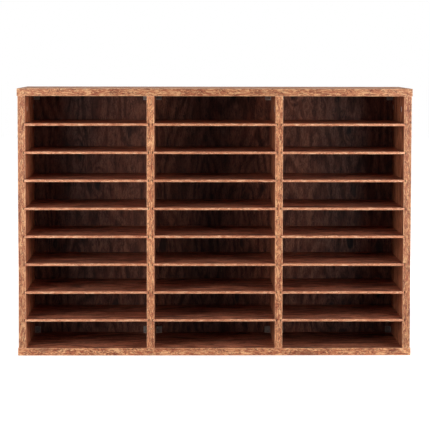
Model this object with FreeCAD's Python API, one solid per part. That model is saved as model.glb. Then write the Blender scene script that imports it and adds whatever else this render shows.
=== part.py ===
"""Pigeonhole mail sorter: a laminated board case with loose shelves in grooved uprights.

Millimetres.  +Z is up, +Y is to the rear and +X is to the right of someone facing the sorter.
The origin is at the middle of the footprint, on the surface that the sorter stands on.
"""
import FreeCAD, Part
import os

Vector = FreeCAD.Vector
ALONG_X = Vector(1, 0, 0)
ALONG_Y = Vector(0, 1, 0)
ALONG_Z = Vector(0, 0, 1)

# ---- pigeonholes -----------------------------------------------------------------------------
column_names = ("left", "middle", "right")
row_count = 9
column_width = 306.0          # clear width between two uprights
slot_height = 65.0            # clear height of every row but the top and bottom ones
top_slot_height = 69.0
bottom_slot_height = 68.0

# ---- boards ----------------------------------------------------------------------------------
sorter_depth = 300.0
board_thickness = 19.0        # top, bottom and all four uprights
end_overhang = 2.0            # how far the top and bottom boards stand past the side panels
edge_band_thickness = 1.0
edge_band_radius = 0.5        # on the outer arrises of every band
shelf_thickness = 6.0
shelf_chamfer = 0.5           # on the front arrises of a shelf
back_thickness = 4.0
back_inset = 30.0             # from the rear edges of the boards to the rear face of the backs

# ---- grooves for the shelves -----------------------------------------------------------------
shelf_entry = 3.5             # how far each shelf end reaches into its upright
groove_end_gap = 2.0          # left between a shelf end and the bottom of its groove
groove_headroom = 0.4         # above a shelf that lies in its grooves
shelf_back_gap = 1.0          # between a shelf that is fully in and the back

# ---- grooves for the backs -------------------------------------------------------------------
back_entry = 4.5
back_groove_gap = 0.5         # past each edge of a back, inside its groove
back_play = 0.1               # on each face of a back

# ---- cam locks, which tie the top board to the uprights ------------------------------------------
fastener_inset = 60.0         # cam locks and base screws, from the front and rear edges
cam_drop = 34.0               # from the top end of an upright to the middle of a cam
cam_radius = 7.4
cam_depth = 12.0
cam_clearance = 0.1
cam_cross_length = 8.0
cam_cross_width = 1.4
cam_cross_depth = 1.6
bolt_hole_radius = 4.0
bolt_thread_radius = 3.0
bolt_thread_length = 11.0
bolt_collar_radius = 3.7
bolt_collar_length = 2.0
bolt_shaft_radius = 2.3
bolt_head_radius = 3.4
bolt_head_length = 3.0
fastener_clearance = 0.05     # round every thread, in the hole that it bites into
blind_hole_spare = 1.0        # left beyond the end of a bolt or screw

# ---- wooden dowels ---------------------------------------------------------------------------
dowel_inset = 105.0           # from the front and rear edges
dowel_radius = 4.0
dowel_length = 30.0
dowel_in_board = 10.0         # the share of a dowel that is in the top or bottom board
dowel_clearance = 0.1
dowel_end_gap = 0.5
dowel_chamfer = 0.8

# ---- base screws, driven up through the bottom board --------------------------------------------
base_screw_length = 50.0
base_screw_recess = 0.4       # the head's face lies this far above the underside of the board
base_screw_head_radius = 5.0
base_screw_cone_height = 3.0
base_screw_shank_radius = 3.4
base_screw_thread_radius = 2.5
base_screw_tip_height = 3.0
base_screw_clearance = 0.1    # round the head and shank
base_screw_socket_width = 4.0  # across the flats of the hexagon socket
base_screw_socket_depth = 2.4

# ---- moulded corner braces and their screws ------------------------------------------------------
brace_width = 15.0
brace_depth = 13.0
brace_height = 16.0
brace_wall = 2.2
brace_fillet = 1.2
brace_driver_hole_radius = 3.2
brace_screw_radius = 1.5
brace_screw_head_radius = 2.8
brace_screw_head_height = 1.6
brace_screw_head_chamfer = 0.6
brace_screw_cross_length = 3.2
brace_screw_cross_width = 0.8
brace_screw_cross_depth = 0.9
brace_hole_spare = 0.5        # left beyond the tip of a brace screw
divider_web = 2.0             # from the tip of a brace screw to the middle of a divider

# ---- sizes that follow -----------------------------------------------------------------------
column_count = len(column_names)
shelf_count = row_count - 1
shelf_pitch = slot_height + shelf_thickness
middle_rows = row_count - 2
upright_height = (top_slot_height + bottom_slot_height + middle_rows * slot_height
                  + shelf_count * shelf_thickness)
upright_bottom = board_thickness
upright_top = upright_bottom + upright_height
sorter_height = upright_top + board_thickness
upright_span = column_count * column_width + (column_count + 1) * board_thickness
sorter_width = upright_span + 2 * end_overhang
front = -sorter_depth / 2
rear = sorter_depth / 2
board_left = -sorter_width / 2
board_right = sorter_width / 2

back_rear_face = rear - back_inset
back_front_face = back_rear_face - back_thickness
back_groove_depth = back_entry + back_groove_gap
shelf_groove_depth = shelf_entry + groove_end_gap
shelf_rear_edge = back_front_face - shelf_back_gap

fastener_rows = (front + fastener_inset, rear - fastener_inset)
dowel_rows = (front + dowel_inset, rear - dowel_inset)
cam_height = upright_top - cam_drop
brace_middle = back_front_face - brace_depth / 2
brace_screw_length = brace_wall + board_thickness / 2 - divider_web


def upright_left_face(number):
    """X of the left face of upright 0, 1, 2 ... counted from the left."""
    return -upright_span / 2 + number * (board_thickness + column_width)


def upright_middle(number):
    return upright_left_face(number) + board_thickness / 2


def column_left(column):
    return upright_left_face(column) + board_thickness


def column_right(column):
    return column_left(column) + column_width


def shelf_underside(number):
    """Z of the lower face of shelf 1, 2, 3 ... counted from the top."""
    first_shelf_top = upright_top - top_slot_height
    return first_shelf_top - (number - 1) * shelf_pitch - shelf_thickness


def block(x_range, y_range, z_range):
    """A rectangular solid between two limits on each axis."""
    size = (x_range[1] - x_range[0], y_range[1] - y_range[0], z_range[1] - z_range[0])
    return Part.makeBox(*size, Vector(x_range[0], y_range[0], z_range[0]))


def rod(radius, start, direction, length):
    return Part.makeCylinder(radius, length, start, direction)


def taper(start_radius, end_radius, start, direction, length):
    return Part.makeCone(start_radius, end_radius, length, start, direction)


def joined(solids):
    """One solid out of several that touch or overlap."""
    return solids[0].multiFuse(solids[1:]).removeSplitter()


def edges_on(solid, outward, directions):
    """The straight edges round the face of a solid that looks outward, if they run in a direction."""
    found = []
    for face in solid.Faces:
        if face.normalAt(0, 0).dot(outward) < 0.99:
            continue
        for edge in face.Edges:
            run = edge.tangentAt(edge.FirstParameter)
            if any(abs(run.dot(direction)) > 0.99 for direction in directions):
                found.append(edge)
    return found


def cross_recess(centre, normal, length, width, depth):
    """Two crossed slots that start just outside a face and go in against its normal."""
    slots = []
    for long_y, long_z in ((length, width), (width, length)):
        slot = Part.makeBox(2 * depth, long_y, long_z, Vector(-depth, -long_y / 2, -long_z / 2))
        slots.append(slot)
    cutter = joined(slots)
    turn = FreeCAD.Rotation(ALONG_X, normal)
    cutter.Placement = FreeCAD.Placement(centre, turn).multiply(cutter.Placement)
    return cutter


def save(name, solids):
    """Write one sub-part; several solids stay separate pieces of one group."""
    shape = solids[0] if len(solids) == 1 else Part.makeCompound(solids)
    shape.exportStep(os.path.join("parts", name + ".step"))


# ---- holes and grooves, as the solids that are cut away ------------------------------------------
def shelf_grooves(face, inward):
    """Every shelf groove in one face of an upright, open at the front edge."""
    grooves = []
    for number in range(1, shelf_count + 1):
        x_range = sorted((face, face + inward * shelf_groove_depth))
        floor = shelf_underside(number)
        z_range = (floor, floor + shelf_thickness + groove_headroom)
        grooves.append(block(x_range, (front, back_front_face), z_range))
    return grooves


def back_groove(face, inward):
    """The upright groove that holds one edge of a back."""
    x_range = sorted((face, face + inward * back_groove_depth))
    y_range = (back_front_face - back_play, back_rear_face + back_play)
    return block(x_range, y_range, (upright_bottom, upright_top))


def board_back_grooves(face, upward):
    """The grooves in the top or bottom board that hold the ends of the backs."""
    y_range = (back_front_face - back_play, back_rear_face + back_play)
    z_range = sorted((face, face + upward * back_groove_depth))
    grooves = []
    for column in range(column_count):
        x_range = (column_left(column) - back_groove_depth, column_right(column) + back_groove_depth)
        grooves.append(block(x_range, y_range, z_range))
    return grooves


def dowel_holes(number, joint_height, board_side):
    """Holes for the dowels of one upright, across its joint with the top or bottom board.

    board_side is +1 where the board is above the joint and -1 where it is below it.
    """
    in_board = dowel_in_board + dowel_end_gap
    in_upright = dowel_length - dowel_in_board + dowel_end_gap
    low = joint_height - (in_upright if board_side > 0 else in_board)
    holes = []
    for y in dowel_rows:
        start = Vector(upright_middle(number), y, low)
        holes.append(rod(dowel_radius + dowel_clearance, start, ALONG_Z, in_board + in_upright))
    return holes


def cam_bolt_holes(number):
    """Holes along the axis of each cam bolt, through the joint with the top board."""
    holes = []
    for y in fastener_rows:
        x = upright_middle(number)
        foot = Vector(x, y, cam_height - bolt_hole_radius)
        holes.append(rod(bolt_hole_radius, foot, ALONG_Z, cam_drop + bolt_hole_radius))
        joint = Vector(x, y, upright_top)
        depth = bolt_thread_length + blind_hole_spare
        holes.append(rod(bolt_thread_radius + fastener_clearance, joint, ALONG_Z, depth))
    return holes


def cam_bores(number):
    face, inward = cam_face(number)
    bores = []
    for y in fastener_rows:
        start = Vector(face, y, cam_height)
        depth = cam_depth + 2 * cam_clearance
        bores.append(rod(cam_radius + cam_clearance, start, ALONG_X * inward, depth))
    return bores


def base_screw_holes(number):
    """A countersunk clearance hole in the bottom board and a pilot hole in the upright."""
    holes = []
    for y in fastener_rows:
        x = upright_middle(number)
        face = Vector(x, y, 0)
        wide = base_screw_head_radius + base_screw_clearance
        narrow = base_screw_shank_radius + base_screw_clearance
        holes.append(rod(wide, face, ALONG_Z, base_screw_recess))
        cone_start = Vector(x, y, base_screw_recess)
        holes.append(taper(wide, narrow, cone_start, ALONG_Z, base_screw_cone_height))
        holes.append(rod(narrow, face, ALONG_Z, board_thickness))
        joint = Vector(x, y, upright_bottom)
        depth = base_screw_recess + base_screw_length - board_thickness + blind_hole_spare
        holes.append(rod(base_screw_thread_radius + fastener_clearance, joint, ALONG_Z, depth))
    return holes


def brace_screw_places():
    """Head seat and driving direction of every brace screw, two to a brace."""
    places = []
    for corner in brace_corners():
        x, z, into_column, into_row = corner
        side_seat = Vector(x + into_column * brace_wall, brace_middle, z + into_row * brace_height / 2)
        board_seat = Vector(x + into_column * brace_width / 2, brace_middle, z + into_row * brace_wall)
        places.append((side_seat, ALONG_X * -into_column))
        places.append((board_seat, ALONG_Z * -into_row))
    return places


def brace_screw_holes():
    holes = []
    depth = brace_screw_length + brace_hole_spare
    for seat, direction in brace_screw_places():
        holes.append(rod(brace_screw_radius + fastener_clearance, seat, direction, depth))
    return holes


# ---- boards --------------------------------------------------------------------------------------
def cam_face(number):
    """X of the upright face that the cams sit in, and the direction into the board.

    Every upright has its cams on the left, apart from the left side panel, which has them inside.
    """
    if number == 0:
        return upright_left_face(number) + board_thickness, -1
    return upright_left_face(number), 1


def upright_grooves(number):
    """Shelf and back grooves in each face of an upright that looks into a column."""
    left_face = upright_left_face(number)
    right_face = left_face + board_thickness
    grooves = []
    if number > 0:
        grooves += shelf_grooves(left_face, 1) + [back_groove(left_face, 1)]
    if number < column_count:
        grooves += shelf_grooves(right_face, -1) + [back_groove(right_face, -1)]
    return grooves


def upright(number, screw_holes):
    x_range = (upright_left_face(number), upright_left_face(number) + board_thickness)
    y_range = (front + edge_band_thickness, rear - edge_band_thickness)
    board = block(x_range, y_range, (upright_bottom, upright_top))
    cuts = upright_grooves(number) + cam_bores(number) + cam_bolt_holes(number)
    cuts += dowel_holes(number, upright_top, 1) + dowel_holes(number, upright_bottom, -1)
    cuts += base_screw_holes(number) + screw_holes
    return board.cut(cuts)


def edge_band(x_range, y_range, z_range, outward, rounded_runs):
    """A strip whose outer face looks outward, with the edges of that face rounded along some runs."""
    strip = block(x_range, y_range, z_range)
    return strip.makeFillet(edge_band_radius, edges_on(strip, outward, rounded_runs))


def upright_edge_bands(number):
    """The front and rear edge strips; the shelf grooves run out through the front one."""
    x_range = (upright_left_face(number), upright_left_face(number) + board_thickness)
    z_range = (upright_bottom, upright_top)
    front_range = (front, front + edge_band_thickness)
    rear_range = (rear - edge_band_thickness, rear)
    front_band = edge_band(x_range, front_range, z_range, ALONG_Y * -1, [ALONG_Z])
    rear_band = edge_band(x_range, rear_range, z_range, ALONG_Y, [ALONG_Z])
    return [front_band.cut(upright_grooves(number)), rear_band]


def level_board(bottom, cuts):
    """The core of the top or bottom board, inside its edge bands."""
    x_range = (board_left + edge_band_thickness, board_right - edge_band_thickness)
    y_range = (front + edge_band_thickness, rear - edge_band_thickness)
    return block(x_range, y_range, (bottom, bottom + board_thickness)).cut(cuts)


def level_board_edge_bands(bottom):
    """Strips on all four edges: the long ones cover the ends of the short ones."""
    z_range = (bottom, bottom + board_thickness)
    whole_length = (board_left, board_right)
    between = (front + edge_band_thickness, rear - edge_band_thickness)
    front_range = (front, front + edge_band_thickness)
    rear_range = (rear - edge_band_thickness, rear)
    left_range = (board_left, board_left + edge_band_thickness)
    right_range = (board_right - edge_band_thickness, board_right)
    return [
        edge_band(whole_length, front_range, z_range, ALONG_Y * -1, [ALONG_X, ALONG_Z]),
        edge_band(whole_length, rear_range, z_range, ALONG_Y, [ALONG_X, ALONG_Z]),
        edge_band(left_range, between, z_range, ALONG_X * -1, [ALONG_Y]),
        edge_band(right_range, between, z_range, ALONG_X, [ALONG_Y]),
    ]


def shelf(column, number):
    """A loose shelf, lying on the floors of its two grooves."""
    x_range = (column_left(column) - shelf_entry, column_right(column) + shelf_entry)
    bottom = shelf_underside(number)
    top = bottom + shelf_thickness
    board = block(x_range, (front, shelf_rear_edge), (bottom, top))
    return board.makeChamfer(shelf_chamfer, edges_on(board, ALONG_Y * -1, [ALONG_X]))


def back(column):
    x_range = (column_left(column) - back_entry, column_right(column) + back_entry)
    z_range = (upright_bottom - back_entry, upright_top + back_entry)
    return block(x_range, (back_front_face, back_rear_face), z_range)


# ---- fasteners -----------------------------------------------------------------------------------
def cam(number, y):
    """A die-cast cam: a drum with a hollow that closes on the head of its bolt."""
    face, inward = cam_face(number)
    into_board = ALONG_X * inward
    outer_face = Vector(face + inward * cam_clearance, y, cam_height)
    drum = rod(cam_radius, outer_face, into_board, cam_depth)
    bolt_axis = upright_middle(number)
    hollow_x = sorted((bolt_axis - inward * bolt_hole_radius, bolt_axis + inward * board_thickness))
    hollow_y = (y - bolt_hole_radius, y + bolt_hole_radius)
    hollow_z = (cam_height - bolt_hole_radius, cam_height + cam_radius + cam_clearance)
    hollow = block(hollow_x, hollow_y, hollow_z)
    recess = cross_recess(outer_face, into_board * -1, cam_cross_length, cam_cross_width, cam_cross_depth)
    return drum.cut([hollow, recess])


def cam_bolt(number, y):
    x = upright_middle(number)
    head_bottom = cam_height - bolt_head_length / 2
    collar_bottom = upright_top - bolt_collar_length
    return joined([
        rod(bolt_head_radius, Vector(x, y, head_bottom), ALONG_Z, bolt_head_length),
        rod(bolt_shaft_radius, Vector(x, y, cam_height), ALONG_Z, collar_bottom - cam_height),
        rod(bolt_collar_radius, Vector(x, y, collar_bottom), ALONG_Z, bolt_collar_length),
        rod(bolt_thread_radius, Vector(x, y, upright_top), ALONG_Z, bolt_thread_length),
    ])


def dowel(number, y, joint_height, board_side):
    in_upright = dowel_length - dowel_in_board
    low = joint_height - (in_upright if board_side > 0 else dowel_in_board)
    x = upright_middle(number)
    end_radius = dowel_radius - dowel_chamfer
    straight = dowel_length - 2 * dowel_chamfer
    return joined([
        taper(end_radius, dowel_radius, Vector(x, y, low), ALONG_Z, dowel_chamfer),
        rod(dowel_radius, Vector(x, y, low + dowel_chamfer), ALONG_Z, straight),
        taper(dowel_radius, end_radius, Vector(x, y, low + dowel_chamfer + straight), ALONG_Z,
              dowel_chamfer),
    ])


def hexagon_socket(centre, width, depth):
    corner_radius = width / 2 / (3 ** 0.5 / 2)
    corners = []
    for step in range(7):
        arm = FreeCAD.Rotation(ALONG_Z, 60 * step).multVec(ALONG_X * corner_radius)
        corners.append(centre + arm)
    return Part.Face(Part.makePolygon(corners)).extrude(ALONG_Z * depth)


def base_screw(number, y):
    x = upright_middle(number)
    head_face = Vector(x, y, base_screw_recess)
    shank_end = board_thickness
    cone_end = base_screw_recess + base_screw_cone_height
    tip_start = base_screw_recess + base_screw_length - base_screw_tip_height
    point_radius = base_screw_thread_radius / 4
    screw = joined([
        taper(base_screw_head_radius, base_screw_shank_radius, head_face, ALONG_Z,
              base_screw_cone_height),
        rod(base_screw_shank_radius, Vector(x, y, cone_end), ALONG_Z, shank_end - cone_end),
        rod(base_screw_thread_radius, Vector(x, y, shank_end), ALONG_Z, tip_start - shank_end),
        taper(base_screw_thread_radius, point_radius, Vector(x, y, tip_start), ALONG_Z,
              base_screw_tip_height),
    ])
    return screw.cut(hexagon_socket(head_face, base_screw_socket_width, base_screw_socket_depth))


def brace_corners():
    """The four rear corners of every column: X and Z of the corner, and the ways into the slot."""
    corners = []
    for column in range(column_count):
        for x, into_column in ((column_left(column), 1), (column_right(column), -1)):
            for z, into_row in ((upright_bottom, 1), (upright_top, -1)):
                corners.append((x, z, into_column, into_row))
    return corners


def corner_brace(x, z, into_column, into_row):
    """A moulded block, open at the front, that screws to an upright and to a board."""
    far_x = x + into_column * brace_width
    far_z = z + into_row * brace_height
    y_range = (back_front_face - brace_depth, back_front_face)
    body = block(sorted((x, far_x)), y_range, sorted((z, far_z)))
    free_edge = []
    for edge in body.Edges:
        middle = edge.CenterOfMass
        if abs(middle.x - far_x) < brace_wall / 2 and abs(middle.z - far_z) < brace_wall / 2:
            free_edge.append(edge)
    body = body.makeFillet(brace_fillet, free_edge)
    pocket = block(
        sorted((x + into_column * brace_wall, far_x - into_column * brace_wall)),
        (y_range[0], y_range[1] - brace_wall),
        sorted((z + into_row * brace_wall, far_z - into_row * brace_wall)))
    middle_x = x + into_column * brace_width / 2
    middle_z = z + into_row * brace_height / 2
    from_side = Vector(far_x, brace_middle, middle_z)
    from_row = Vector(middle_x, brace_middle, far_z)
    side_driver_hole = rod(brace_driver_hole_radius, from_side, ALONG_X * -into_column, brace_wall)
    row_driver_hole = rod(brace_driver_hole_radius, from_row, ALONG_Z * -into_row, brace_wall)
    return body.cut([pocket, side_driver_hole, row_driver_hole] + brace_screw_holes())


def brace_screw(seat, direction):
    """A pan-head screw whose head bears on the inner face of a brace wall."""
    straight = brace_screw_head_height - brace_screw_head_chamfer
    head_top = seat - direction * brace_screw_head_height
    screw = joined([
        rod(brace_screw_radius, seat, direction, brace_screw_length),
        rod(brace_screw_head_radius, seat - direction * straight, direction, straight),
        taper(brace_screw_head_radius - brace_screw_head_chamfer, brace_screw_head_radius, head_top,
              direction, brace_screw_head_chamfer),
    ])
    recess = cross_recess(head_top, direction * -1, brace_screw_cross_length,
                          brace_screw_cross_width, brace_screw_cross_depth)
    return screw.cut(recess)


# ---- the whole sorter ----------------------------------------------------------------------------
def build():
    os.makedirs("parts", exist_ok=True)
    uprights = range(column_count + 1)
    screw_holes = brace_screw_holes()

    top_cuts = board_back_grooves(upright_top, 1) + screw_holes
    bottom_cuts = board_back_grooves(upright_bottom, -1) + screw_holes
    for number in uprights:
        top_cuts += cam_bolt_holes(number) + dowel_holes(number, upright_top, 1)
        bottom_cuts += base_screw_holes(number) + dowel_holes(number, upright_bottom, -1)
    save("top_panel", [level_board(upright_top, top_cuts)])
    save("bottom_panel", [level_board(0, bottom_cuts)])
    save("top_panel_edge_bands", level_board_edge_bands(upright_top))
    save("bottom_panel_edge_bands", level_board_edge_bands(0))

    for number in uprights:
        if number == 0:
            name = "side_left"
        elif number == column_count:
            name = "side_right"
        else:
            name = "divider_" + str(number)
        save(name, [upright(number, screw_holes)])
        save(name + "_edge_bands", upright_edge_bands(number))

    for column, column_name in enumerate(column_names):
        save("back_" + column_name, [back(column)])
        for number in range(1, shelf_count + 1):
            save("shelf_" + column_name + "_" + str(number), [shelf(column, number)])

    save("cam_locks", [cam(number, y) for number in uprights for y in fastener_rows])
    save("cam_bolts", [cam_bolt(number, y) for number in uprights for y in fastener_rows])
    save("top_dowels", [dowel(number, y, upright_top, 1) for number in uprights for y in dowel_rows])
    save("bottom_dowels",
         [dowel(number, y, upright_bottom, -1) for number in uprights for y in dowel_rows])
    save("base_screws", [base_screw(number, y) for number in uprights for y in fastener_rows])
    save("corner_braces", [corner_brace(*corner) for corner in brace_corners()])
    save("brace_screws", [brace_screw(seat, direction) for seat, direction in brace_screw_places()])
    print("width", sorter_width, "depth", sorter_depth, "height", sorter_height)


build()
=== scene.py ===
"""Looks of the pigeonhole mail sorter: its laminates, bands and fittings, and a white studio.

Metres, in the sorter's own frame: +X to the right, +Y to the rear, +Z up, origin under its middle.
"""
import math
from itertools import combinations

import bpy
from mathutils import Euler, Matrix, Vector


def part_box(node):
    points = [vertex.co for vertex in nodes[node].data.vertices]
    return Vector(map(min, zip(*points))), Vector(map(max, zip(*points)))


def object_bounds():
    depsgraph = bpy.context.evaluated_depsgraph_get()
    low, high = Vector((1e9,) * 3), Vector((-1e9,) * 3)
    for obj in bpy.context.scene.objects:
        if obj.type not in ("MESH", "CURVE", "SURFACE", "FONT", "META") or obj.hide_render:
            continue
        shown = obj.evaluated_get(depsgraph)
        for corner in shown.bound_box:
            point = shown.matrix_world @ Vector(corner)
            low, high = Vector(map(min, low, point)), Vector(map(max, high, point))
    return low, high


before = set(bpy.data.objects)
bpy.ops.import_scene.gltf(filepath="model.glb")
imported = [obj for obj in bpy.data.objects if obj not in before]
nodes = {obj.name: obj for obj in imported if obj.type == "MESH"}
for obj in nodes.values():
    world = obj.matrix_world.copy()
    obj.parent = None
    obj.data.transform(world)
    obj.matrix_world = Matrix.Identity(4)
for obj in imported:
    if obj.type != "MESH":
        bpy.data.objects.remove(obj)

cad_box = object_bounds()
front = cad_box[0].y
middle = Vector((0, 0, cad_box[1].z / 2))

MM = 0.001
X, Y, Z = range(3)

# The axes of the sorter that a decor takes as its own X, Y and Z. Its grain runs along its X.
GRAIN_ALONG_X = "XYZ"
GRAIN_ALONG_Y = "YXZ"
GRAIN_ALONG_Z = "ZXY"


def colour(red, green, blue):
    """A display colour, 0 to 255 a channel, as the linear one that a shader takes."""
    linear = []
    for channel in (red, green, blue):
        share = channel / 255
        linear.append(share / 12.92 if share <= 0.04045 else ((share + 0.055) / 1.055) ** 2.4)
    return (*linear, 1.0)


# ---- node trees ------------------------------------------------------------------------------------
class Graph:
    """Adds nodes to one tree. An input takes a number, a vector, a colour or another node's output."""

    def __init__(self, tree):
        self.tree = tree

    def add(self, kind, inputs, **settings):
        node = self.tree.nodes.new(kind)
        for name, value in settings.items():
            setattr(node, name, value)
        for key, value in inputs.items():
            self.feed(node.inputs[key], value)
        return node

    def feed(self, socket, value):
        if isinstance(value, bpy.types.NodeSocket):
            self.tree.links.new(value, socket)
        else:
            socket.default_value = value

    def math(self, operation, first, second=0.0):
        return self.add("ShaderNodeMath", {0: first, 1: second}, operation=operation).outputs[0]

    def both(self, first, second):
        return self.math("MULTIPLY", first, second)

    def either(self, first, second):
        return self.math("MAXIMUM", first, second)

    def without(self, mask):
        return self.math("SUBTRACT", 1.0, mask)

    def apart(self, first, second):
        """How far two numbers are from each other."""
        return self.math("ABSOLUTE", self.math("SUBTRACT", first, second))

    def ramp(self, value, low, high, to_low=0.0, to_high=1.0):
        """Goes smoothly from to_low to to_high as value goes from low to high, and no further."""
        node = self.add("ShaderNodeMapRange", {
            "Value": value, "From Min": low, "From Max": high, "To Min": to_low, "To Max": to_high,
        }, interpolation_type="SMOOTHSTEP")
        return node.outputs["Result"]

    def blend(self, share, first, second):
        """The first colour where share is 0 and the second where it is 1."""
        # Inputs 6 and 7 and output 2 are the mix node's sockets for colours.
        node = self.add("ShaderNodeMix", {0: share, 6: first, 7: second}, data_type="RGBA")
        return node.outputs[2]

    def parts(self, vector):
        return self.add("ShaderNodeSeparateXYZ", {0: vector}).outputs

    def vector(self, operation, first, second):
        return self.add("ShaderNodeVectorMath", {0: first, 1: second}, operation=operation).outputs[0]

    def times(self, vector, factor):
        """The vector or colour with all its parts multiplied by one factor."""
        return self.add("ShaderNodeVectorMath", {0: vector, 3: factor}, operation="SCALE").outputs[0]

    def scaled(self, vector, factors):
        """The vector with each part multiplied by a factor of its own."""
        return self.add("ShaderNodeMapping", {"Vector": vector, "Scale": factors}).outputs[0]

    def turned(self, vector, order):
        """The vector with its parts in another order: "ZXY" puts its Z first."""
        found = self.parts(vector)
        inputs = {index: found["XYZ".index(axis)] for index, axis in enumerate(order)}
        return self.add("ShaderNodeCombineXYZ", inputs).outputs[0]

    def noise(self, vector, scale, detail, roughness=0.5, distortion=0.0):
        """Smooth noise, about 0.5 in the middle, with scale features to a metre."""
        node = self.add("ShaderNodeTexNoise", {
            "Vector": vector, "Scale": scale, "Detail": detail,
            "Roughness": roughness, "Distortion": distortion,
        })
        return node.outputs[0]

    def cells(self, vector, scale, randomness=1.0):
        """Cells round scattered points: Distance to the nearest point, and a random Color for each."""
        node = self.add("ShaderNodeTexVoronoi", {
            "Vector": vector, "Scale": scale, "Randomness": randomness,
        })
        return node.outputs

    def grained(self, vector, along, across):
        """The vector for a pattern with so many features to a metre along the grain and across it."""
        return self.scaled(vector, (along, across, across))

    def grained_noise(self, vector, along, across, detail, roughness, distortion=0.0):
        return self.noise(self.grained(vector, along, across), 1.0, detail, roughness, distortion)

    def effect(self, group, inputs):
        return self.add("ShaderNodeGroup", inputs, node_tree=group).outputs

    def bump(self, height_map, depth):
        return self.add("ShaderNodeBump", {"Height": height_map, "Distance": depth}).outputs[0]


def empty_graph(owner):
    """The emptied node tree of a material or a world."""
    owner.use_nodes = True
    owner.node_tree.nodes.clear()
    return Graph(owner.node_tree)


def shared_effect(name, inputs, outputs, wiring):
    """A shader node group. wiring(graph, given) returns what goes to each output."""
    group = bpy.data.node_groups.new(name, "ShaderNodeTree")
    for socket_name, kind, value in inputs:
        socket = group.interface.new_socket(socket_name, in_out="INPUT", socket_type="NodeSocket" + kind)
        socket.default_value = value
    for socket_name in outputs:
        group.interface.new_socket(socket_name, in_out="OUTPUT", socket_type="NodeSocketFloat")
    graph = Graph(group)
    given = graph.add("NodeGroupInput", {}).outputs
    made = wiring(graph, given)
    graph.add("NodeGroupOutput", made)
    return group


class Finish:
    """A material with one Principled shader, the place and facing of each point, and a graph."""

    def __init__(self, name, **constants):
        self.material = bpy.data.materials.new(name)
        self.graph = empty_graph(self.material)
        self.shader = self.graph.add("ShaderNodeBsdfPrincipled", {})
        self.graph.add("ShaderNodeOutputMaterial", {"Surface": self.shader.outputs[0]})
        coordinates = self.graph.add("ShaderNodeTexCoord", {}).outputs
        self.place = coordinates["Object"]
        self.facing = coordinates["Normal"]
        self.wear(**constants)

    def wear(self, **sockets):
        """Feeds the shader's inputs, such as base_color, roughness and normal."""
        for name, value in sockets.items():
            title = name.replace("_", " ").title().replace("Ior", "IOR")
            self.graph.feed(self.shader.inputs[title], value)
        return self.material


def dress(node_name, material):
    """Gives a whole sub-part one material."""
    slots = nodes[node_name].data.materials
    slots.clear()
    slots.append(material)


# ---- effects that several finishes share -----------------------------------------------------------
# The layers of the rustic decor: their features to a metre along the grain and across it, and how
# fine, rough and distorted their noise is.
CLOUDS = {"along": 7.0, "across": 26.0, "detail": 4.0, "roughness": 0.6, "distortion": 0.8}
RINGS = {"along": 2.4, "across": 10.0, "detail": 1.0, "roughness": 0.4}
FIBRES = {"along": 60.0, "across": 400.0, "detail": 3.0, "roughness": 0.6}
STREAKS = {"along": 14.0, "across": 120.0, "detail": 2.0, "roughness": 0.6}
PORES = {"along": 200.0, "across": 600.0, "detail": 2.0, "roughness": 0.6}
PORE_CROWDS = {"along": 34.0, "across": 80.0, "detail": 3.0, "roughness": 0.6}
CRACKS = {"along": 11.0, "across": 80.0, "detail": 1.0, "roughness": 0.5}
KNOTS = {"along": 7.0, "across": 18.0}
# The grain's long and short waves. The long ones go as far sideways as Sway says, the short ones 11 mm.
LONG_WAVES = {"along": 3.0, "across": 12.0}
SHORT_WAVES = {"along": 34.0, "across": 80.0}
SIDEWAYS = (0.0, 1.0, 1.0)
SHORT_SWAY = (0.0, 0.011, 0.011)
RINGS_ROUND_A_KNOT = 4.0


def rustic_decor_wiring(graph, given):
    """A printed rustic wood with its grain along X.

    Clouds are broad light and dark zones, rings the contours of a slow field, which arch and close
    round the knots, streaks the narrow ones between, fibres the fine lines along the grain, pores the
    short dark dashes in clusters, and cracks the few long dark lines.
    """
    place = given["Vector"]

    def waves(size):
        return graph.add("ShaderNodeTexNoise", {
            "Vector": graph.grained(place, **size), "Scale": 1.0, "Detail": 2.0,
        }).outputs["Color"]

    sway = graph.times(graph.vector("MULTIPLY", waves(LONG_WAVES), SIDEWAYS), given["Sway"])
    flow = graph.vector("ADD", place, sway)
    flow = graph.vector("ADD", flow, graph.vector("MULTIPLY", waves(SHORT_WAVES), SHORT_SWAY))

    cells = graph.cells(graph.grained(flow, **KNOTS), 1.0)
    chosen = graph.ramp(graph.parts(cells["Color"])[0], 0.5, 0.55)
    knot = graph.both(graph.ramp(cells["Distance"], 0.02, 0.42, 1.0, 0.0), chosen)

    rings = graph.both(graph.grained_noise(flow, **RINGS), given["Rings"])
    rings = graph.math("ADD", rings, graph.both(knot, RINGS_ROUND_A_KNOT))
    crowd = graph.ramp(graph.grained_noise(place, **PORE_CROWDS), 0.35, 0.65, -0.09, 0.07)
    crowd = graph.math("ADD", crowd, graph.both(knot, 0.1))
    pores = graph.math("ADD", graph.grained_noise(flow, **PORES), crowd)
    gap = graph.apart(graph.grained_noise(flow, **CRACKS), 0.5)
    return {
        "Clouds": graph.ramp(graph.grained_noise(flow, **CLOUDS), 0.34, 0.66),
        "Rings": graph.ramp(graph.math("PINGPONG", rings, 1.0), 0.15, 0.75),
        "Streaks": graph.ramp(graph.grained_noise(flow, **STREAKS), 0.36, 0.64),
        "Fibres": graph.ramp(graph.grained_noise(flow, **FIBRES), 0.34, 0.66),
        "Pores": graph.ramp(pores, 0.5, 0.62),
        "Cracks": graph.both(graph.ramp(gap, 0.003, 0.02, 1.0, 0.0), graph.ramp(crowd, -0.02, 0.05)),
        "Knots": graph.ramp(knot, 0.55, 0.85),
    }


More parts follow.
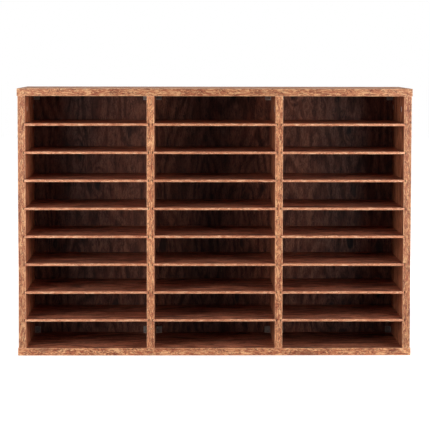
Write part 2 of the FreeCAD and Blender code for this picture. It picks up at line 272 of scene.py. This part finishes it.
def arris_wiring(graph, given):
    """1 along the edges of a box, where two of its faces meet, and 0 further in than about Width."""
    to_low = graph.vector("SUBTRACT", given["Vector"], given["Low"])
    to_high = graph.vector("SUBTRACT", given["High"], given["Vector"])
    gap = graph.vector("MINIMUM", to_low, to_high)
    rough = graph.noise(given["Vector"], 160.0, detail=3.0, roughness=0.6)
    reach = graph.both(given["Width"], graph.ramp(rough, 0.35, 0.7, 0.25, 1.6))
    near = [graph.without(graph.math("DIVIDE", distance, reach)) for distance in graph.parts(gap)]
    xy, xz, yz = [graph.math("MINIMUM", *pair) for pair in combinations(near, 2)]
    return {"Mask": graph.ramp(graph.either(graph.either(xy, xz), yz), 0.0, 0.6)}


def chipboard_wiring(graph, given):
    """Pressed chips, flatter than wide: each cell is one chip, with fine dust between them."""
    cells = graph.cells(graph.scaled(given["Vector"], (1.0, 1.0, 2.2)), 520.0)
    dust = graph.noise(given["Vector"], 1400.0, detail=3.0, roughness=0.7)
    return {"Chips": graph.parts(cells["Color"])[0], "Dust": dust}


def settled_dust_wiring(graph, given):
    """A thin uneven film on what faces up."""
    up = graph.ramp(graph.parts(given["Normal"])[Z], 0.5, 0.95)
    drift = graph.noise(given["Vector"], 14.0, detail=5.0, roughness=0.65)
    specks = graph.ramp(graph.noise(given["Vector"], 900.0, detail=2.0), 0.6, 0.72)
    film = graph.ramp(drift, 0.4, 0.75)
    return {"Mask": graph.both(up, graph.either(graph.both(film, 0.5), graph.both(specks, film)))}


PLACE_INPUT = ("Vector", "Vector", (0, 0, 0))
RUSTIC_DECOR = shared_effect(
    "rustic decor", [PLACE_INPUT, ("Rings", "Float", 20.0), ("Sway", "Float", 0.04)],
    ["Clouds", "Rings", "Streaks", "Fibres", "Pores", "Cracks", "Knots"], rustic_decor_wiring)
# The arris mask carries both rubbed wear and a painted highlight along the bands' edges.
ARRIS = shared_effect(
    "rubbed arris",
    [PLACE_INPUT, ("Low", "Vector", (0, 0, 0)), ("High", "Vector", (0, 0, 0)), ("Width", "Float", 0.001)],
    ["Mask"], arris_wiring)
CHIPBOARD = shared_effect("chipboard core", [PLACE_INPUT], ["Chips", "Dust"], chipboard_wiring)
SETTLED_DUST = shared_effect(
    "settled dust", [PLACE_INPUT, ("Normal", "Vector", (0, 0, 1))], ["Mask"], settled_dust_wiring)


# ---- colours and measures --------------------------------------------------------------------------
# Each decor has the tones of its dark wood, its light wood, its pale streaks and its veins.
FACE = (colour(122, 63, 43), colour(196, 118, 80), colour(217, 141, 101), colour(60, 30, 24))
LEVEL_FACE = (colour(95, 47, 34), colour(220, 133, 98), colour(234, 154, 116), colour(48, 24, 20))
# The top's decor is lighter than the other faces while its own sheen is low: painted sheen of the white
# backdrop and painted light from above.
TOP_FACE_PAINTED_SHEEN = (colour(152, 84, 42), colour(226, 146, 86), colour(240, 170, 108), colour(76, 38, 20))
BACK_FACE = (colour(78, 42, 32), colour(172, 105, 78), colour(208, 144, 115), colour(32, 17, 14))
BACK_GAIN = 0.85
BAND = (colour(168, 88, 58), colour(236, 164, 114), colour(252, 200, 148), colour(104, 38, 24))
SHELF_BAND = (colour(196, 122, 84), colour(230, 162, 122), colour(246, 194, 152), colour(156, 84, 56))
# Pale arrises of the bands: partly rubbed wear, partly a painted highlight along the edges.
ARRIS_WEAR_AND_HIGHLIGHT = colour(238, 184, 142)
CORE_PALE = colour(205, 172, 128)
CORE_DARK = colour(128, 92, 60)
HARDBOARD_DARK = colour(112, 74, 46)
HARDBOARD_PALE = colour(158, 114, 78)
HARDBOARD_BLOTCH = colour(96, 60, 38)
HARDBOARD_FLECK = colour(186, 146, 106)
DUST = colour(196, 188, 178)
ZINC_DULL = colour(214, 212, 208)
ZINC_RUBBED = colour(236, 234, 230)
PLATING = colour(204, 202, 196)
PLATING_TARNISHED = colour(168, 160, 142)
BEECH_DARK = colour(214, 176, 126)
BEECH_PALE = colour(228, 196, 150)
BEECH_RAY = colour(168, 118, 74)
BRACE_DARK = colour(212, 202, 193)
BRACE_PALE = colour(232, 222, 213)

# Zones of painted light and shade on the backs, and of painted shade on the bottom board: darker where the
# side lights don't reach into a pigeonhole and paler where they fall. From left to right: the X of the
# zone's middle line, half its width, and its gain.
BACK_PAINTED_LIGHT_AND_SHADE_ZONES = ((-0.40, 0.06, 0.85), (-0.27, 0.05, 1.25), (-0.145, 0.03, 1.35), (-0.005, 0.08, 0.63),
              (0.14, 0.03, 1.5), (0.215, 0.08, 1.45), (0.38, 0.11, 0.9))
FLOOR_PAINTED_SHADE_ZONES = ((0.33, 0.17, 0.75),)
# A zone's border wanders this far to either side. Its gain is full up to the first share of its half
# width and gone at the second.
ZONE_WANDER = 0.03
ZONE_FULL, ZONE_GONE = 0.4, 1.2

# The core shows from the first depth under a board's face, and fully from the second.
SKIN_DEPTHS = (0.15 * MM, 0.25 * MM)
# The tape on a shelf's front edge is whole up to the first depth and gone at the second.
TAPE_DEPTHS = (0.55 * MM, 0.75 * MM)
ARRIS_WIDTH = 1.5 * MM

RAW_ROUGHNESS = 0.9
HARDBOARD_ROUGHNESS = 0.8
DUST_ROUGHNESS = 0.55


def toned(tones, gain):
    """The same decor, lighter or darker."""
    return tuple((red * gain, green * gain, blue * gain, 1.0) for red, green, blue, _ in tones)


# ---- laminates and bands ---------------------------------------------------------------------------
def veined(graph, wood, base, vein, pores, cracks, knots):
    """The colour with its pores, cracks and knots darkened by such shares, and the pores and cracks."""
    marks = graph.either(graph.both(wood["Pores"], pores), graph.both(wood["Cracks"], cracks))
    return graph.blend(graph.either(marks, graph.both(wood["Knots"], knots)), base, vein), marks


def face_decor(finish, grain_order, tones, softness=0.4):
    """Colour, roughness and relief of the broad faces: slow figure, with faint pores."""
    dark, light, streak, vein = tones
    graph = finish.graph
    along = graph.turned(finish.place, grain_order)
    wood = graph.effect(RUSTIC_DECOR, {"Vector": along, "Rings": 24.0, "Sway": 0.015})
    figure = graph.math("ADD", graph.both(wood["Rings"], 0.2), graph.both(wood["Fibres"], 0.2))
    figure = graph.math("ADD", figure, graph.both(wood["Streaks"], 0.3))
    tone = graph.math("ADD", figure, graph.both(wood["Clouds"], 0.3))
    tone = graph.ramp(tone, 0.5 - softness, 0.5 + softness)
    base = graph.blend(tone, dark, light)
    base = graph.blend(graph.both(graph.both(wood["Rings"], wood["Fibres"]), 0.5), base, streak)
    base, marks = veined(graph, wood, base, vein, pores=0.5, cracks=0.8, knots=0.85)
    roughness = graph.ramp(figure, 0.1, 0.6, 0.6, 0.38)
    return base, roughness, graph.math("SUBTRACT", graph.both(wood["Fibres"], 0.4), marks)


def band_decor(finish, along, tones):
    """The colour of the edges, paler wood crowded with dark pores, and its fibres and marks."""
    dark, light, streak, vein = tones
    graph = finish.graph
    wood = graph.effect(RUSTIC_DECOR, {"Vector": along, "Rings": 30.0, "Sway": 0.04})
    tone = graph.math("ADD", graph.both(wood["Rings"], 0.2), graph.both(wood["Fibres"], 0.65))
    tone = graph.math("ADD", tone, graph.both(wood["Clouds"], 0.15))
    base = graph.blend(tone, dark, light)
    base = graph.blend(graph.both(graph.ramp(wood["Fibres"], 0.5, 1.0), 0.7), base, streak)
    base, marks = veined(graph, wood, base, vein, pores=0.75, cracks=0.85, knots=0.6)
    return base, wood["Fibres"], marks


def painted_light_and_shade_zones(finish, base, zones):
    """The decor with painted light and shade: paler and darker zones beside each other with wavy borders,
    where the lamps' light falls more or less.
    """
    graph = finish.graph
    lean = graph.noise(graph.scaled(finish.place, (9.0, 9.0, 2.5)), 1.0, detail=4.0, roughness=0.65)
    lean = graph.ramp(lean, 0.3, 0.7, -ZONE_WANDER, ZONE_WANDER)
    across = graph.math("ADD", graph.parts(finish.place)[X], lean)
    gain = 1.0
    for middle_line, half_width, zone_gain in zones:
        off = graph.apart(across, middle_line)
        full, gone = ZONE_FULL * half_width, ZONE_GONE * half_width
        gain = graph.both(graph.ramp(off, full, gone, zone_gain, 1.0), gain)
    return graph.times(base, gain)


def dusty(finish, base, share):
    """The colour under the settled dust, and the dust itself."""
    dust = finish.graph.effect(SETTLED_DUST, {"Vector": finish.place, "Normal": finish.facing})["Mask"]
    return finish.graph.blend(finish.graph.both(dust, share), base, DUST), dust


def chipboard(finish):
    """The raw core of a board, where the chips show through their dust."""
    graph = finish.graph
    core = graph.effect(CHIPBOARD, {"Vector": finish.place})
    chips = graph.blend(core["Chips"], CORE_DARK, CORE_PALE)
    return graph.blend(graph.both(core["Dust"], 0.5), chips, CORE_PALE)


def board_laminate(node_name, grain_order, thickness_axis, tones, sheen=0.3, zones=()):
    """A laminated chipboard: decor on its two faces, raw core in its holes and grooves."""
    finish = Finish("board_laminate_" + node_name, specular_ior_level=sheen)
    graph = finish.graph
    low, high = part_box(node_name)
    base, roughness, relief = face_decor(finish, grain_order, tones)
    # Painted shade in zones across the bottom board.
    if zones:
        base = painted_light_and_shade_zones(finish, base, zones)
    base, dust = dusty(finish, base, 0.1)
    half = (high[thickness_axis] - low[thickness_axis]) / 2
    mid = (low[thickness_axis] + high[thickness_axis]) / 2
    off = graph.apart(graph.parts(finish.place)[thickness_axis], mid)
    first, full = SKIN_DEPTHS
    raw = graph.ramp(off, half - full, half - first, 1.0, 0.0)
    roughness = graph.either(roughness, graph.both(raw, RAW_ROUGHNESS))
    return finish.wear(
        base_color=graph.blend(raw, base, chipboard(finish)),
        roughness=graph.either(roughness, graph.both(dust, DUST_ROUGHNESS)),
        normal=graph.bump(relief, 0.03 * MM))


def edge_band(node_name, grain_order, tones):
    """Thin strips in the lighter decor, with pale arrises: rubbed wear and a painted highlight along the
    edges.

    Their grain runs with the board's, but from front to back on the end strips of a level board.
    """
    finish = Finish("edge_band_" + node_name, specular_ior_level=0.45)
    graph = finish.graph
    low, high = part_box(node_name)
    along = graph.turned(finish.place, grain_order)
    if grain_order == GRAIN_ALONG_X:
        on_end = graph.math("ABSOLUTE", graph.parts(finish.facing)[X])
        along = graph.blend(graph.ramp(on_end, 0.4, 0.6), along, graph.turned(finish.place, GRAIN_ALONG_Y))
    base, fibres, marks = band_decor(finish, along, tones)
    relief = graph.math("SUBTRACT", graph.both(fibres, 0.5), marks)
    # The pale arris paints a highlight along the band's edges, which also reads as rubbed wear.
    rubbed = graph.effect(ARRIS, {"Vector": finish.place, "Low": low, "High": high, "Width": ARRIS_WIDTH})
    return finish.wear(
        base_color=graph.blend(graph.both(rubbed["Mask"], 0.6), base, ARRIS_WEAR_AND_HIGHLIGHT),
        roughness=graph.ramp(fibres, 0.0, 1.0, 0.48, 0.36),
        normal=graph.bump(relief, 0.04 * MM))


def shelf_laminate():
    """The thin shelves: decor above and below, a lighter front edge, raw fibreboard on the rest."""
    finish = Finish("shelf_laminate", specular_ior_level=0.5)
    graph = finish.graph
    facing = graph.parts(finish.facing)
    base, roughness, relief = face_decor(finish, GRAIN_ALONG_X, LEVEL_FACE)
    tape, _, _ = band_decor(finish, finish.place, SHELF_BAND)
    full, gone = TAPE_DEPTHS
    on_edge = graph.ramp(graph.parts(finish.place)[Y], front + full, front + gone, 1.0, 0.0)
    base, _ = dusty(finish, graph.blend(on_edge, base, tape), 0.08)
    raw = graph.ramp(graph.either(graph.math("ABSOLUTE", facing[X]), facing[Y]), 0.6, 0.8)
    fibre = graph.noise(graph.scaled(finish.place, (1.0, 1.0, 3.0)), 900.0, detail=4.0, roughness=0.7)
    return finish.wear(
        base_color=graph.blend(raw, base, graph.blend(fibre, CORE_DARK, CORE_PALE)),
        roughness=graph.either(roughness, graph.both(raw, RAW_ROUGHNESS)),
        normal=graph.bump(relief, 0.03 * MM))


def hardboard(finish):
    """Bare brown hardboard: matted fibres, with darker blotches and pale flecks."""
    graph = finish.graph
    fibre = graph.ramp(graph.noise(finish.place, 300.0, detail=5.0, roughness=0.8), 0.36, 0.64)
    blotch = graph.noise(finish.place, 34.0, detail=5.0, roughness=0.7)
    flecks = graph.ramp(graph.noise(finish.place, 700.0, detail=2.0), 0.62, 0.72)
    board = graph.blend(fibre, HARDBOARD_DARK, HARDBOARD_PALE)
    board = graph.blend(graph.ramp(blotch, 0.4, 0.7, 0.0, 0.25), board, HARDBOARD_BLOTCH)
    return graph.blend(graph.both(flecks, 0.6), board, HARDBOARD_FLECK)


def back_laminate():
    """The backs: dark decor with upright grain in front, bare hardboard printed by its mesh behind."""
    finish = Finish("back_laminate", specular_ior_level=0.55)
    graph = finish.graph
    tones = toned(BACK_FACE, BACK_GAIN)
    base, roughness, relief = face_decor(finish, GRAIN_ALONG_Z, tones, softness=0.55)
    # Painted light and shade in zones across the backs.
    base = painted_light_and_shade_zones(finish, base, BACK_PAINTED_LIGHT_AND_SHADE_ZONES)
    behind = graph.ramp(graph.parts(finish.facing)[Y], 0.5, 0.7)
    mesh = graph.cells(finish.place, 480.0, randomness=0.25)["Distance"]
    relief = graph.math("ADD", graph.both(relief, graph.without(behind)), graph.both(mesh, behind))
    return finish.wear(
        base_color=graph.blend(behind, base, hardboard(finish)),
        roughness=graph.either(roughness, graph.both(behind, HARDBOARD_ROUGHNESS)),
        normal=graph.bump(relief, 0.05 * MM))


# ---- fittings --------------------------------------------------------------------------------------
def die_cast_zinc():
    """Cams: dull cast metal with a fine skin and brighter rubbed patches."""
    finish = Finish("die_cast_zinc", metallic=0.3)
    graph = finish.graph
    skin = graph.noise(finish.place, 900.0, detail=4.0, roughness=0.7)
    patch = graph.noise(finish.place, 140.0, detail=3.0)
    return finish.wear(
        base_color=graph.blend(patch, ZINC_DULL, ZINC_RUBBED),
        roughness=graph.ramp(patch, 0.3, 0.7, 0.55, 0.4),
        normal=graph.bump(skin, 0.05 * MM))


def plated_steel():
    """Screws and bolts: bright plating, drawn from top to bottom, with a faint tarnish."""
    finish = Finish("plated_steel", metallic=1.0)
    graph = finish.graph
    drawn = graph.scaled(finish.place, (1.0, 1.0, 0.08))
    drawn = graph.noise(drawn, 1800.0, detail=3.0, roughness=0.6)
    tarnish = graph.noise(finish.place, 220.0, detail=3.0, roughness=0.6)
    return finish.wear(
        base_color=graph.blend(graph.ramp(tarnish, 0.45, 0.7), PLATING, PLATING_TARNISHED),
        roughness=graph.ramp(drawn, 0.3, 0.7, 0.2, 0.42),
        normal=graph.bump(drawn, 0.02 * MM))


def beech():
    """Dowels: pale beech with short dark rays."""
    finish = Finish("beech_dowel", roughness=0.6)
    graph = finish.graph
    rays = graph.scaled(finish.place, (1.0, 1.0, 0.12))
    rays = graph.noise(rays, 1500.0, detail=3.0, roughness=0.6)
    tone = graph.noise(finish.place, 60.0, detail=2.0)
    base = graph.blend(tone, BEECH_DARK, BEECH_PALE)
    return finish.wear(
        base_color=graph.blend(graph.ramp(rays, 0.55, 0.7, 0.0, 0.6), base, BEECH_RAY),
        normal=graph.bump(rays, 0.1 * MM))


def brace_plastic():
    """Corner braces: pale moulded plastic with a fine spark-eroded skin."""
    finish = Finish("brace_plastic", ior=1.5)
    graph = finish.graph
    skin = graph.noise(finish.place, 2600.0, detail=2.0, roughness=0.6)
    cloud = graph.noise(finish.place, 90.0, detail=3.0)
    return finish.wear(
        base_color=graph.blend(cloud, BRACE_DARK, BRACE_PALE),
        roughness=graph.ramp(cloud, 0.3, 0.7, 0.5, 0.4),
        normal=graph.bump(skin, 0.03 * MM))


# ---- the sorter's finishes -------------------------------------------------------------------------
# Level boards: the decor's tones, the gain of the bands' tones, the faces' sheen and their zones. The band
# gains make lighter and darker copies of the band decor: painted light and shade on each board's edges.
LEVEL_BOARDS = {
    "top_panel": (TOP_FACE_PAINTED_SHEEN, 0.82, 0.05, ()),
    "bottom_panel": (LEVEL_FACE, 1.0, 0.3, FLOOR_PAINTED_SHADE_ZONES),
}
# Uprights: the decor's tones and the gain of the bands' tones. Both carry painted light and shade: the
# left side's decor is a lighter copy, for the light on its inner face, and the band gains even out the
# light on each edge.
UPRIGHTS = {
    "side_left": (toned(FACE, 1.4), 0.81),
    "divider_1": (FACE, 1.03),
    "divider_2": (FACE, 0.98),
    "side_right": (FACE, 0.81),
}
# The nodes whose names start so share one finish.
SHARED_FINISHES = {
    shelf_laminate: ("shelf_",),
    back_laminate: ("back_",),
    die_cast_zinc: ("cam_locks",),
    plated_steel: ("cam_bolts", "base_screws", "brace_screws"),
    beech: ("top_dowels", "bottom_dowels"),
    brace_plastic: ("corner_braces",),
}


def dress_board(board, grain_order, thickness_axis, tones, band_light_and_shade_gain, *looks):
    dress(board, board_laminate(board, grain_order, thickness_axis, tones, *looks))
    band = board + "_edge_bands"
    # Each board's bands are a lighter or darker copy of one band decor: painted light and shade.
    dress(band, edge_band(band, grain_order, toned(BAND, band_light_and_shade_gain)))


def dress_sorter():
    for board, looks in LEVEL_BOARDS.items():
        dress_board(board, GRAIN_ALONG_X, Z, *looks)
    for upright, looks in UPRIGHTS.items():
        dress_board(upright, GRAIN_ALONG_Z, X, *looks)
    for finish, starts in SHARED_FINISHES.items():
        material = finish()
        for name in nodes:
            if name.startswith(starts):
                dress(name, material)


# ---- studio ----------------------------------------------------------------------------------------
WHITE = (1, 1, 1, 1)
# In reflections the room in front of the sorter is this share of white.
DIM_ROOM = 0.15
# The colour of the light that the world gives. What is seen of the world itself is white.
COOL = (0.7, 1.0, 1.3, 1)
# The floor sheet lies just under the bottom board, so that the two don't share a plane.
FLOOR_DROP = 0.1 * MM
# Each light's name, place, width and height, and watts. All of them face the sorter's middle.
SOFTBOXES = (
    ("far left softbox", (-1.90, -1.55, 0.61), (0.40, 0.90), 15.0),
    ("middle left softbox", (-1.15, -0.95, 0.60), (0.30, 0.92), 4.1),
    ("near left softbox", (-0.80, -0.98, 0.58), (0.25, 0.86), 2.6),
    ("far right softbox", (1.90, -1.00, 0.70), (0.30, 0.90), 11.5),
    ("middle right softbox", (1.15, -0.95, 0.60), (0.30, 0.92), 4.2),
    ("near right softbox", (0.80, -1.00, 0.58), (0.25, 0.86), 3.2),
    ("overhead softbox", (0.0, 0.5, 2.6), (2.2, 0.8), 10.0),
    ("rear left softbox", (-1.9, 2.0, 0.9), (0.9, 1.3), 30.0),
    ("rear right softbox", (1.9, 2.0, 0.9), (0.9, 1.3), 26.0),
)
CAMERA_PLACE = (-0.0649, -4.6212, 0.7582)
CAMERA_PITCH, CAMERA_YAW, CAMERA_ROLL = -0.0649, 0.0146, 0.0015
CAMERA_LENS = 148.53
CAMERA_SHIFT = -0.10


def seen_directly(graph):
    """1 for rays that show a background: from the camera, in a reflection or through glass."""
    path = graph.add("ShaderNodeLightPath", {}).outputs
    return graph.either(graph.either(path["Is Camera Ray"], path["Is Glossy Ray"]),
                        path["Is Transmission Ray"])


def in_reflection(graph, share):
    """The share, for rays that show a reflection, and 0 for all others."""
    return graph.both(graph.add("ShaderNodeLightPath", {}).outputs["Is Glossy Ray"], share)


def white_world(ambient):
    """White where it is seen, apart from reflections of the dim room in front of the sorter.

    The light that it gives is faint, as ambient says, and cool.
    """
    world = bpy.data.worlds.new("studio")
    graph = empty_graph(world)
    direction = graph.add("ShaderNodeTexCoord", {}).outputs["Generated"]
    forward = in_reflection(graph, graph.ramp(graph.parts(direction)[Y], -0.8, -0.25, 1.0, 0.0))
    seen = seen_directly(graph)
    backdrop = graph.ramp(seen, 0.0, 1.0, ambient, 1.0)
    strength = graph.math("SUBTRACT", backdrop, graph.both(forward, 1.0 - DIM_ROOM))
    light = graph.add("ShaderNodeBackground", {
        "Color": graph.blend(seen, COOL, WHITE), "Strength": strength,
    })
    graph.add("ShaderNodeOutputWorld", {"Surface": light.outputs[0]})
    bpy.context.scene.world = world


def pale_floor(reach, shade, behind, glow, near, far):
    """A wide pale sheet that glows white where it is seen, and lights nothing with its glow.

    The glow is least up to near from a place behind the sorter, and full at far from it: a painted shadow
    behind the sorter, where its real shade also shows clearest. In reflections its front half is as dim as
    the room there.
    """
    corners = [(-reach, -reach, 0), (reach, -reach, 0), (reach, reach, 0), (-reach, reach, 0)]
    mesh = bpy.data.meshes.new("floor")
    mesh.from_pydata(corners, [], [(0, 1, 2, 3)])
    floor = bpy.data.objects.new("floor", mesh)
    bpy.context.scene.collection.objects.link(floor)
    floor.location.z = -FLOOR_DROP
    material = bpy.data.materials.new("pale floor")
    graph = empty_graph(material)
    sheet = graph.add("ShaderNodeBsdfDiffuse", {"Color": (shade, shade, shade, 1)})
    place = graph.add("ShaderNodeTexCoord", {}).outputs["Object"]
    forward = in_reflection(graph, graph.ramp(graph.parts(place)[Y], front, -front, 1.0, 0.0))
    shown = graph.math("SUBTRACT", seen_directly(graph), graph.both(forward, 1.0 - DIM_ROOM))
    from_painted_shadow = graph.add("ShaderNodeVectorMath", {0: place, 1: behind}, operation="DISTANCE").outputs["Value"]
    # Less glow round the place behind the sorter: a painted shadow on the floor.
    shown = graph.both(shown, graph.ramp(from_painted_shadow, near, far, glow, 1.0))
    shine = graph.add("ShaderNodeEmission", {"Strength": shown})
    total = graph.add("ShaderNodeAddShader", {0: sheet.outputs[0], 1: shine.outputs[0]})
    graph.add("ShaderNodeOutputMaterial", {"Surface": total.outputs[0]})
    mesh.materials.append(material)


def softbox(name, place, size, watts):
    """A soft light that faces the sorter's middle and isn't seen itself."""
    lamp = bpy.data.lights.new(name, "AREA")
    lamp.shape = "RECTANGLE"
    lamp.size, lamp.size_y = size
    lamp.energy = watts
    holder = bpy.data.objects.new(name, lamp)
    bpy.context.scene.collection.objects.link(holder)
    holder.location = place
    holder.rotation_euler = (middle - Vector(place)).to_track_quat("-Z", "Y").to_euler()
    holder.visible_camera = False


def camera():
    """Far in front, a little left of the middle and above the top board, looking slightly down."""
    lens = bpy.data.cameras.new("camera")
    lens.sensor_width = 36.0
    lens.lens = CAMERA_LENS
    lens.shift_y = CAMERA_SHIFT
    lens.clip_end = 100.0
    stand = bpy.data.objects.new("camera", lens)
    bpy.context.scene.collection.objects.link(stand)
    aim = Euler((math.pi / 2 + CAMERA_PITCH, 0.0, -CAMERA_YAW)).to_matrix()
    aim = aim @ Matrix.Rotation(CAMERA_ROLL, 3, "Z")
    stand.matrix_world = Matrix.Translation(CAMERA_PLACE) @ aim.to_4x4()
    bpy.context.scene.camera = stand


dress_sorter()
white_world(ambient=0.06)
# The floor's glow dips behind the sorter: a painted shadow there.
pale_floor(reach=12.0, shade=0.7, behind=(0.0, 0.45, 0.0), glow=0.42, near=0.1, far=1.3)
for box in SOFTBOXES:
    softbox(*box)
camera()
bpy.context.scene.view_settings.view_transform = "Standard"
